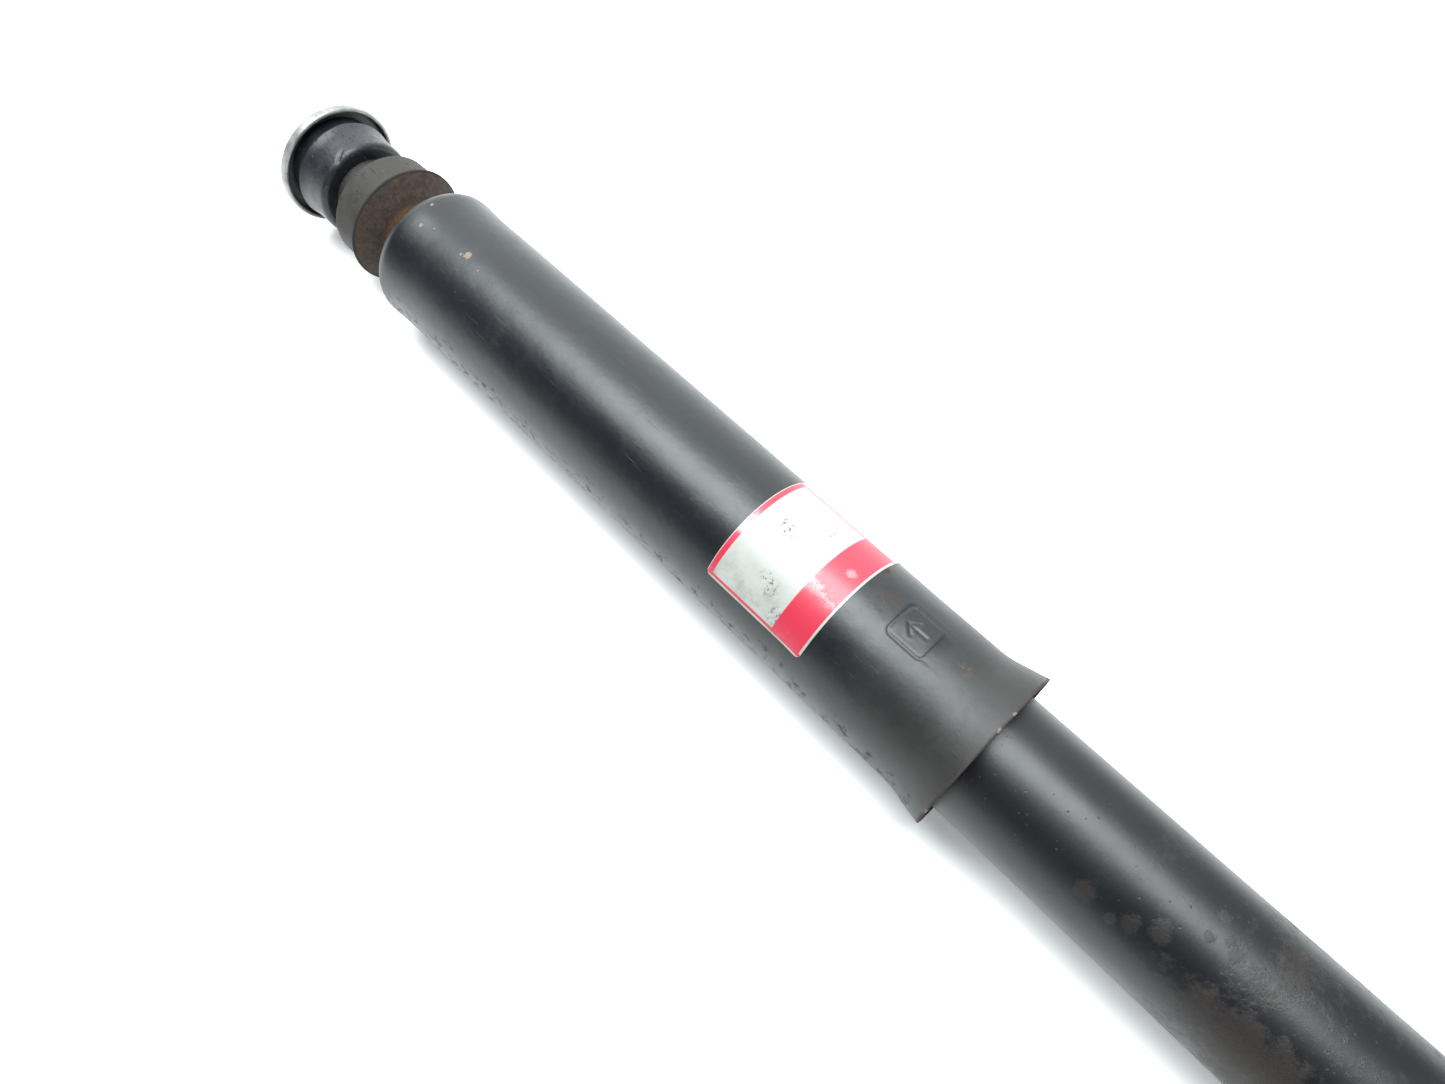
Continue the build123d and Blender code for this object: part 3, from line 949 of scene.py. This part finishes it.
def stamp_line(u, v, half):
    """Distance to the stamped frame and to the arrow inside it."""
    corner = 0.3 * half
    x, y = abs(u) - half + corner, abs(v) - half + corner
    outline = abs(hypot(max(x, 0), max(y, 0)) + min(max(x, y), 0) - corner)
    tail, tip = Vector((-0.5 * half, 0)), Vector((0.5 * half, 0))
    barbs = Vector((0.1 * half, 0.38 * half)), Vector((0.1 * half, -0.38 * half))
    here = Vector((u, v))
    lines = [outline]
    for start, end in ((tail, tip), (tip, barbs[0]), (tip, barbs[1])):
        share = max(0, min(1, (here - start).dot(end - start) / (end - start).length_squared))
        lines.append((here - start.lerp(end, share)).length)
    return min(lines)


def cover_relief(look):
    """Drawn shoulder, bent rim, shallow dents and the stamped frame."""
    def relief(station, angle):
        angle = (angle + pi) % (2 * pi) - pi
        from_open, to_closed = station - COVER.start, COVER.end - station
        offset = look.swell * bell(to_closed - look.shoulder, 7 * MM)
        offset -= 0.16 * MM * bell(to_closed - 27 * MM, 9 * MM)
        offset += 0.07 * MM * wobble(3, station / (22 * MM), sin(angle) * 2, cos(angle) * 2)
        lip = max(0, 1 - from_open / (8 * MM)) ** 2
        bent = 0.40 * wobble(8, sin(angle) * 3, cos(angle) * 3, 0)
        bent += 0.5 * bell(angle - radians(88), radians(7)) - 0.9 * bell(angle - radians(106), radians(9))
        offset += lip * bent * MM
        half = look.stamp_size
        u, v = from_open - look.stamp_place, (angle - STAMP_ANGLE) * COVER_R
        if max(abs(u), abs(v)) < STAMP_REACH * half:
            line = stamp_line(u, v, half)
            offset -= look.stamp_depth * (bell(line, 0.55 * MM) - 0.22 * bell(line - 1.5 * MM, 0.7 * MM))
        return offset
    return relief


class BuildCover(Build, bpy.types.Operator):
    """Build the dust cover with its stamped frame"""

    bl_idname = "damper.dust_cover"
    bl_label = "Dust cover"
    makes = "dust_cover_shell"
    settings = "damper_cover"

    def build(self, scene, look):
        bend, wall = COVER.start + look.flare, look.wall
        inner, closed, edge = COVER_R - wall, COVER.end - wall, 0.3 * MM
        outline = rounded([
            (COVER.start, COVER.radius, edge), (bend, COVER_R, look.bend),
            (COVER.end, COVER_R, look.shoulder), (COVER.end, look.bore), (closed, look.bore),
            (closed, inner, look.shoulder - wall), (bend, inner, look.bend),
            (COVER.start, COVER.radius - wall, edge),
        ])
        stamp, reach = COVER.start + look.stamp_place, STAMP_REACH * look.stamp_size

        def step(place):
            stamped = abs(place.x - stamp) < reach and place.y > COVER_R - edge
            return STAMP_STEP if stamped else 5 * MM

        turn = reach / COVER_R
        angles = two_step_angles(STAMP_ANGLE - turn, STAMP_ANGLE + turn, radians(0.7), radians(2.5))
        mesh = turned(self.makes, spaced(outline, step), angles, cover_relief(look))
        fit(placed(self.makes, mesh, cover_paint(look)), "rod_and_cover", "cover_paint", "dust_cover")


LABEL_SHEET = 0.11 * MM


def label_mesh(name):
    """Thin closed sheet on the cover with round corners, barely lifted at one of them."""
    columns, rows, corner = 48, 120, 2.0 * MM
    first = radians(LABEL_FAR)
    arc = (radians(LABEL_NEAR) - first) * COVER_R
    middle = (LABEL.start + LABEL.end) / 2
    half = (LABEL.end - LABEL.start) / 2
    sides = ([], [])
    for j in range(rows + 1):
        share = 0.5 - 0.5 * cos(pi * j / rows)
        v = arc * share
        short = max(0, corner - min(v, arc - v))
        inset = corner - (corner**2 - short**2) ** 0.5
        for i in range(columns + 1):
            u = (half - inset) * (2 * i / columns - 1)
            angle = first + v / COVER_R
            to_corner = hypot(u + half, arc - v)
            lift = 0.02 * MM + 0.35 * MM * bell(to_corner, 4 * MM)
            lift += 0.03 * MM * (1 + wobble(5, u / (7 * MM), v / (7 * MM), 0))
            for side, thick in zip(sides, (0.0, LABEL_SHEET)):
                reach = COVER_R + lift + thick
                side.append((middle + u, reach * sin(angle), reach * cos(angle)))
    count = len(sides[0])
    across = columns + 1
    faces = []
    for j in range(rows):
        for i in range(columns):
            a = j * across + i
            faces.append((a, a + 1, a + 1 + across, a + across))
            faces.append(tuple(count + k for k in (a + across, a + 1 + across, a + 1, a)))
    rim = [*range(across)] + [j * across + columns for j in range(1, rows + 1)]
    rim += [rows * across + i for i in range(columns - 1, -1, -1)]
    rim += [j * across for j in range(rows - 1, 0, -1)]
    for here, there in zip(rim, rim[1:] + rim[:1]):
        faces.append((there, here, count + here, count + there))
    mesh = bpy.data.meshes.new(name)
    mesh.from_pydata([*sides[0], *sides[1]], [], faces)
    return outward(mesh)


class BuildLabel(Build, bpy.types.Operator):
    """Build the printed label round the cover"""

    bl_idname = "damper.label"
    bl_label = "Label"
    makes = "label_sheet"
    settings = "damper_cover"

    def build(self, scene, look):
        piece = placed(self.makes, label_mesh(self.makes), label_print(look))
        fit(piece, "rod_and_cover", "label_paper", "cover_label")


class BuildTube(Build, bpy.types.Operator):
    """Build the reservoir tube and its welded base cap"""

    bl_idname = "damper.reservoir"
    bl_label = "Reservoir tube"
    makes = "reservoir_shell"
    settings = "damper_tube"

    def build(self, scene, look):
        inner, lip = TUBE.radius - look.wall, TUBE.end - look.wall
        fold = inner - 4 * MM
        outline = rounded([
            (TUBE.start, inner), (TUBE.start, TUBE.radius), (TUBE.end, TUBE.radius, look.lip),
            (TUBE.end, fold), (lip, fold), (lip, inner),
        ])
        paint = tube_paint(look)
        drawn = grain(4, 30 * MM, 0.06 * MM)
        mesh = turned(self.makes, spaced(outline, 6 * MM), relief=drawn)
        fit(placed(self.makes, mesh, paint), "strut_tube", "tube_paint", "reservoir_tube")

        floor, bead = CAP.start + 3 * MM, CAP.radius
        outline = rounded([
            (CAP.start, 0), (CAP.start, 17 * MM, 3 * MM), (TUBE.start - 3 * MM, bead, 1.2 * MM),
            (TUBE.start, bead), (TUBE.start, inner), (CAP.end, inner), (CAP.end, inner - 2.5 * MM),
            (TUBE.start, inner - 2.5 * MM, 3 * MM), (floor, 13.5 * MM, 2 * MM), (floor, 0),
        ])
        pressed = grain(6, 9 * MM, 0.1 * MM)
        mesh = turned("base_cap_pressing", spaced(outline, 4 * MM), relief=pressed)
        cap = placed("base_cap_pressing", mesh, paint)
        weld_maker().apply(
            cap, Ripples=look.weld_ripples, Radius=TUBE.radius - 1.2 * MM, Section=look.weld_radius,
            Station=TUBE.start - 1.1 * MM, Seed=1.0, Material=paint,
        )
        fit(cap, "strut_tube", "tube_paint", "base_cap")


def ring_and_neck(look):
    """Eye ring with its neck melted into it, and the bore cut through."""
    wide = abs(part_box("eye_ring")[0].y)
    outline = rounded([
        (-wide, 0), (-wide, EYE.radius, 1.5 * MM), (wide, EYE.radius, 1.5 * MM), (wide, 0),
    ])
    blank = turned("eye_blank", outline, even_angles(96), across=True)
    top = EYE.end + 1 * MM
    neck = turned("eye_neck", [(0, 0), (0, look.neck), (top, look.neck), (top, 0)])
    shape = bmesh.new()
    shape.from_mesh(blank)
    shape.from_mesh(neck)
    shape.to_mesh(blank)
    shape.free()
    cutter_mesh = turned("eye_bore", [
        (-2 * wide, 0), (-2 * wide, look.eye_bore), (2 * wide, look.eye_bore), (2 * wide, 0),
    ], across=True)
    scene = bpy.context.scene.collection.objects
    body = bpy.data.objects.new("eye_ring_forging", blank)
    cutter = bpy.data.objects.new("eye_bore", cutter_mesh)
    scene.link(body)
    scene.link(cutter)
    remesh = body.modifiers.new("melt", "REMESH")
    remesh.mode, remesh.voxel_size = "VOXEL", 0.62 * MM
    soften = body.modifiers.new("soften", "SMOOTH")
    soften.factor, soften.iterations = 0.5, 9
    bore = body.modifiers.new("bore", "BOOLEAN")
    bore.operation, bore.object, bore.solver = "DIFFERENCE", cutter, "EXACT"
    bake_modifiers(body)
    mesh = body.data
    bpy.data.objects.remove(body)
    bpy.data.objects.remove(cutter)
    return mesh


class BuildEye(Build, bpy.types.Operator):
    """Build the lower eye: ring, rubber bush and sleeve"""

    bl_idname = "damper.eye"
    bl_label = "Lower eye"
    makes = "eye_ring_forging"
    settings = "damper_tube"

    def build(self, scene, look):
        stack = scene.damper_stack
        paint = tube_paint(look)
        ring = placed(self.makes, ring_and_neck(look), paint, sharp=40)
        weld_maker().apply(
            ring, Ripples=38, Radius=look.neck + 0.4 * MM, Section=2.1 * MM, Station=EYE.end - 0.6 * MM,
            Seed=7.0, Material=paint,
        )
        fit(ring, "strut_tube", "tube_paint", "eye_ring")

        wide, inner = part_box("eye_rubber")[1].y, SLEEVE.radius + 0.05 * MM
        outline = rounded([
            (-wide, inner), (-wide, look.eye_bore - 2 * MM, 1 * MM), (1.5 * MM - wide, look.eye_bore),
            (wide - 1.5 * MM, look.eye_bore), (wide, look.eye_bore - 2 * MM, 1 * MM), (wide, inner),
        ])
        mesh = turned("eye_bush_rubber", outline, relief=grain(11, 4 * MM, 0.05 * MM), across=True)
        rubber = weathered_rubber("eye_rubber_black", stack.clean_rubber, stack.dusty_rubber, 0.62, 0.7)
        fit(placed("eye_bush_rubber", mesh, rubber), "strut_tube", "rubber", "eye_rubber")

        wide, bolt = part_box("eye_sleeve")[1].y, BOLT_R
        outline = rounded([
            (-wide, bolt + 0.6 * MM), (-wide, SLEEVE.radius - 0.5 * MM), (0.5 * MM - wide, SLEEVE.radius),
            (wide - 0.5 * MM, SLEEVE.radius), (wide, SLEEVE.radius - 0.5 * MM), (wide, bolt + 0.6 * MM),
            (wide - 0.6 * MM, bolt), (0.6 * MM - wide, bolt),
        ])
        mesh = turned("eye_bolt_sleeve", outline, across=True)
        metal = steel("sleeve_steel", (0.42, 0.40, 0.37), 0.36, 0.7, tint=(0.16, 0.09, 0.05))
        fit(placed("eye_bolt_sleeve", mesh, metal), "lower_sleeve", "plain_steel", "eye_sleeve")


class BuildRod(Build, bpy.types.Operator):
    """Build the piston rod with its threaded stem"""

    bl_idname = "damper.rod"
    bl_label = "Rod and stem"
    makes = "rod_with_stem"
    settings = "damper_stack"

    def build(self, scene, look):
        thread_start = NUT.start - 4 * MM
        core = STEM_R - look.thread_depth
        outline = rounded([
            (ROD.start, 0), (ROD.start, HEAD_R - 0.8 * MM), (ROD.start + 0.8 * MM, HEAD_R),
            (STOP.end, HEAD_R),
            (STOP.end, ROD.radius, 0.3 * MM), (PLATE_SEAT.start, ROD.radius, 0.3 * MM),
            (PLATE_SEAT.start, STEM_R), (thread_start, STEM_R), (thread_start + 0.7 * MM, core),
            (ROD.end - 0.8 * MM, core), (ROD.end, core - 0.8 * MM), (ROD.end, 0),
        ])
        mesh = turned(self.makes, outline, even_angles(96))
        chrome = steel("hard_chrome", (0.62, 0.62, 0.63), 0.16, 0.15, tint=(0.35, 0.33, 0.30))
        rod = placed(self.makes, mesh, chrome)
        thread_maker().apply(
            rod, Start=thread_start + 0.4 * MM, Run=ROD.end - thread_start - 1.4 * MM,
            Pitch=look.thread_pitch, Radius=core, Depth=look.thread_depth, Material=chrome,
        )
        fit(rod, "rod_and_cover", "hard_chrome", "piston_rod")


class BuildRetainers(Build, bpy.types.Operator):
    """Build the collar, the lower dish and the upper cup"""

    bl_idname = "damper.retainers"
    bl_label = "Retainers"
    makes = "lower_dish"
    settings = "damper_stack"

    def build(self, scene, look):
        rust = rusty_steel(look)
        sheet, flat, bend, edge = look.dish_sheet, look.dish_flat, look.dish_bend, 1.2 * MM
        floor, rim = DISH.start + sheet, DISH.end
        slope = (DISH.radius - flat) / (rim - floor)
        back_flat = DISH.radius - slope * (rim - DISH.start - edge)
        outline = rounded([
            (DISH.start, STEM_R), (DISH.start, back_flat, bend + 2 * MM),
            (rim - edge, DISH.radius, 0.7 * MM), (rim, DISH.radius, 0.3 * MM), (floor, flat, bend),
            (floor, STEM_R),
        ])
        lumps = grain(21, 6 * MM, 0.14 * MM)
        mesh = turned(self.makes, spaced(outline, 1.5 * MM), even_angles(160), lumps)
        fit(placed(self.makes, mesh, rust), "rod_and_cover", "rusty_steel", "lower_retainer")

        outline = rounded([
            (COLLAR.start, STEM_R), (COLLAR.start, COLLAR.radius, 0.8 * MM), (COLLAR.end, 11.5 * MM),
            (COLLAR.end, STEM_R),
        ])
        pitted = grain(23, 3 * MM, 0.2 * MM)
        mesh = turned("neck_collar", spaced(outline, 1 * MM), relief=pitted)
        fit(placed("neck_collar", mesh, rust), "rod_and_cover", "rusty_steel", "stem_collar")

        back, roll = CUP.end, 0.95 * MM
        floor, inside = back - look.cup_sheet, CUP.radius - 2 * roll
        outline = rounded([
            (back, STEM_R), (back, CUP.radius, 3 * MM), (CUP.start, CUP.radius, roll - 0.02 * MM),
            (CUP.start, inside, roll - 0.02 * MM), (floor, inside, 1.3 * MM), (floor, STEM_R),
        ])
        mesh = turned("upper_cup", spaced(outline, 2 * MM), even_angles(160),
                      grain(25, 12 * MM, 0.10 * MM))
        fit(placed("upper_cup", mesh, plated_steel(look)), "rod_and_cover", "zinc", "upper_retainer")


def barrel_relief(station, angle):
    """Moulding lumps and the torn place at the groove's edge."""
    offset = grain(31, 7 * MM, 0.12 * MM)(station, angle)
    angle = (angle + pi) % (2 * pi) - pi
    across = (angle - radians(15)) * UPPER.radius
    along = station - UPPER.start
    tear = bell(along - 2.6 * MM + across * 0.5, 0.8 * MM) * bell(across, 3 * MM)
    return offset - 0.9 * MM * tear


class BuildCushions(Build, bpy.types.Operator):
    """Build the two rubber cushions"""

    bl_idname = "damper.cushions"
    bl_label = "Cushions"
    makes = "lower_cushion_rubber"
    settings = "damper_stack"

    def build(self, scene, look):
        floor, flat, radius = DISH.start + look.dish_sheet, look.dish_flat, look.cushion_radius
        slope = (DISH.radius - flat) / (DISH.end - floor)
        leave = floor + (radius - flat) / slope
        nest = UPPER.start + look.nest
        outline = rounded([
            (floor, SPACER.radius), (floor, flat, look.dish_bend), (leave, radius),
            (GROOVE_LOW, radius, 1.5 * MM), (GROOVE_LOW, look.spigot), (nest, look.spigot),
            (nest, SPACER.radius),
        ])
        mesh = turned(self.makes, spaced(outline, 1.2 * MM), even_angles(180),
                      grain(33, 8 * MM, 0.12 * MM))
        dusty = weathered_rubber("dusty_rubber", look.dusty_rubber, (0.036, 0.030, 0.024), 0.62, 0.9)
        fit(placed(self.makes, mesh, dusty), "rod_and_cover", "rubber", "lower_cushion")

        bead, waist = UPPER.radius + 0.25 * MM, UPPER.radius - 0.7 * MM
        crest, neck = UPPER.end - 8.6 * MM, UPPER.radius - 1.5 * MM
        outline = rounded([
            (nest, SPACER.radius), (nest, look.spigot), (UPPER.start, look.spigot),
            (UPPER.start, waist - 0.2 * MM, 3 * MM), (crest - 3.6 * MM, waist, 9 * MM),
            (crest, bead, 1.5 * MM), (crest + 3.4 * MM, neck, 2.2 * MM), (UPPER.end, neck),
            (UPPER.end, SPACER.radius),
        ])
        mesh = turned("upper_cushion_rubber", spaced(outline, 0.8 * MM), even_angles(200),
                      barrel_relief)
        clean = weathered_rubber("black_rubber", look.clean_rubber, (0.020, 0.021, 0.026), 0.34, 0.5)
        fit(placed("upper_cushion_rubber", mesh, clean), "rod_and_cover", "rubber", "upper_cushion")


class BuildSprings(Build, bpy.types.Operator):
    """Build the two valve springs"""

    bl_idname = "damper.springs"
    bl_label = "Valve springs"
    makes = "base_check_coil"
    settings = "damper_tube"

    def build(self, scene, look):
        metal = spring_steel()
        for valve, body in (("base_check", "strut_tube"), ("piston_check", "rod_and_cover")):
            node = f"{valve}_spring"
            coil = placed(f"{valve}_coil", frame["nodes"][node].data.copy(), metal)
            fit(coil, body, "spring_steel", node)
            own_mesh(coil)


class PaintInside(Build, bpy.types.Operator):
    """Give the parts that keep their frame meshes their finishes"""

    bl_idname = "damper.inside"
    bl_label = "Inner parts"
    makes = "inner_parts"
    settings = "damper_stack"

    def build(self, scene, look):
        repaint(plated_steel(look), "top_nut")
        repaint(steel("turned_steel", (0.50, 0.49, 0.47), 0.30, 0.6), "working_cylinder", "cover_plate",
                "spacer_sleeve", "seal_washer", "rod_guide", "piston_nut", "rebound_stop",
                "piston_stop_washer", "base_valve_rivet")
        repaint(sintered(), "piston", "base_valve_body")
        repaint(spring_steel(), "base_valve_discs", "rebound_discs", "base_check_plate",
                "piston_check_plate")
        repaint(steel("bush_bronze", (0.52, 0.33, 0.14), 0.34, 0.4, tint=(0.22, 0.12, 0.05)), "guide_bush")
        repaint(slide_plastic("slide_band", (0.035, 0.045, 0.040)), "piston_ring")
        repaint(weathered_rubber("oiled_rubber", (0.010, 0.010, 0.011), (0.022, 0.021, 0.020), 0.32, 0.3),
                "rod_seal", "rebound_bumper")


# ---- Stage ----

DAYLIGHT = (0.93, 0.985, 1.0)
BACKDROP = 0.95  # brightness of the room where the camera sees it
FLOOR_REACH, FLOOR_CLEARANCE = 4.0, 0.6 * MM
LAMP_WIDE, LAMP_DEEP, LAMP_TURN = 1.95, 1.0, radians(22)
LAMP_PLACE = (COVER.start + 0.46, -0.035, 1.6)
CAMERA_PLACE = (0.2693, 0.1293, 0.3372)
SENSOR_WIDTH = 36


class BuildStage(Build, bpy.types.Operator):
    """Set up the floor, the lights and the camera"""

    bl_idname = "damper.stage"
    bl_label = "Stage"
    makes = "floor"
    settings = "damper_stage"

    def build(self, scene, look):
        self.lay_floor(scene, look)
        self.light(scene, look)
        self.aim_camera(scene, look)
        scene.view_settings.view_transform = "Standard"

    def lay_floor(self, scene, look):
        """The strut lies on its open rim and on its shoulder."""
        cover = scene.damper_cover
        rise = (COVER.radius - COVER_R - cover.swell) / (COVER.end - cover.shoulder - COVER.start)
        middle = (COVER.start + COVER.end) / 2

        def corner(along, across):
            x = middle + along * FLOOR_REACH
            height = -COVER.radius - FLOOR_CLEARANCE + (x - COVER.start) * rise
            return (x, across * FLOOR_REACH, height)

        mesh = bpy.data.meshes.new("floor")
        corners = [corner(-1, -1), corner(1, -1), corner(1, 1), corner(-1, 1)]
        mesh.from_pydata(corners, [], [(0, 1, 2, 3)])
        placed("floor", mesh, pale_floor(look.floor, look.floor_glow))

    def light(self, scene, look):
        """Pale room on the far side, darker behind the camera, and a long lamp overhead."""
        world = bpy.data.worlds.new("studio")
        scene.world = world
        world.use_nodes = True
        world.node_tree.nodes.clear()
        graph = Graph(world.node_tree)
        ray = graph.node("ShaderNodeTexCoord", output="Generated")
        x, y, z = (graph.node("ShaderNodeSeparateXYZ", None, {0: ray}, output=axis) for axis in "XYZ")
        angle = y.maths("ARCTAN2", y, z) * (180 / pi)
        near, far = look.near_sky, look.far_sky
        dim = 0.15 + graph.smooth(x, -0.38, 0.32) * 0.85
        glow = near + graph.smooth(angle, 34, -14) * dim * (far - near)
        glow = glow + graph.smooth(angle, 62, 88) * look.low_sky
        seen = graph.node("ShaderNodeLightPath", output="Is Camera Ray")
        strength = glow + seen * (BACKDROP - glow)
        sky = graph.node("ShaderNodeBackground", None, {"Color": (*DAYLIGHT, 1.0), "Strength": strength})
        output = world.node_tree.nodes.new("ShaderNodeOutputWorld")
        world.node_tree.links.new(sky.socket, output.inputs["Surface"])

        lamp = bpy.data.lights.new("overhead", "AREA")
        lamp.shape, lamp.size, lamp.size_y = "RECTANGLE", LAMP_WIDE, LAMP_DEEP
        lamp.energy = look.lamp * pi * LAMP_WIDE * LAMP_DEEP
        lamp.color = DAYLIGHT
        light = bpy.data.objects.new("overhead", lamp)
        light.location = LAMP_PLACE
        light.rotation_euler = (0, 0, LAMP_TURN)
        light.visible_camera = False
        scene.collection.objects.link(light)

    def aim_camera(self, scene, look):
        """Camera close above the tube, looking down across the cover towards the stem."""
        data = bpy.data.cameras.new("camera")
        data.lens, data.sensor_width = look.lens, SENSOR_WIDTH
        data.clip_start, data.clip_end = 0.01, 20
        camera = bpy.data.objects.new("camera", data)
        camera.location = CAMERA_PLACE
        camera.rotation_euler = (radians(90 - look.elevation), 0, radians(look.azimuth))
        scene.collection.objects.link(camera)
        scene.camera = camera


# ---- Add-on ----

OPERATORS = (
    BuildCover, BuildLabel, BuildTube, BuildEye, BuildRod, BuildRetainers, BuildCushions, BuildSprings,
    PaintInside, BuildStage,
)
SETTINGS = {
    "damper_cover": CoverSettings, "damper_tube": TubeSettings, "damper_stack": StackSettings,
    "damper_stage": StageSettings,
}


class DamperPanel(bpy.types.Panel):
    """Lists the pieces and their settings"""

    bl_idname = "VIEW3D_PT_damper"
    bl_label = "Damper"
    bl_space_type = "VIEW_3D"
    bl_region_type = "UI"
    bl_category = "Damper"

    def draw(self, context):
        for name, settings in SETTINGS.items():
            box = self.layout.box()
            for key in settings.__annotations__:
                box.prop(getattr(context.scene, name), key)
        for operator in OPERATORS:
            self.layout.operator(operator.bl_idname)


def register():
    for kind in (*SETTINGS.values(), *OPERATORS, DamperPanel):
        bpy.utils.register_class(kind)
    for name, settings in SETTINGS.items():
        setattr(bpy.types.Scene, name, PointerProperty(type=settings))


def unregister():
    for name in SETTINGS:
        delattr(bpy.types.Scene, name)
    for kind in (DamperPanel, *reversed(OPERATORS), *SETTINGS.values()):
        bpy.utils.unregister_class(kind)


def main():
    register()
    for operator in OPERATORS:
        getattr(bpy.ops.damper, operator.bl_idname.split(".")[1])()


if __name__ == "__main__":
    main()
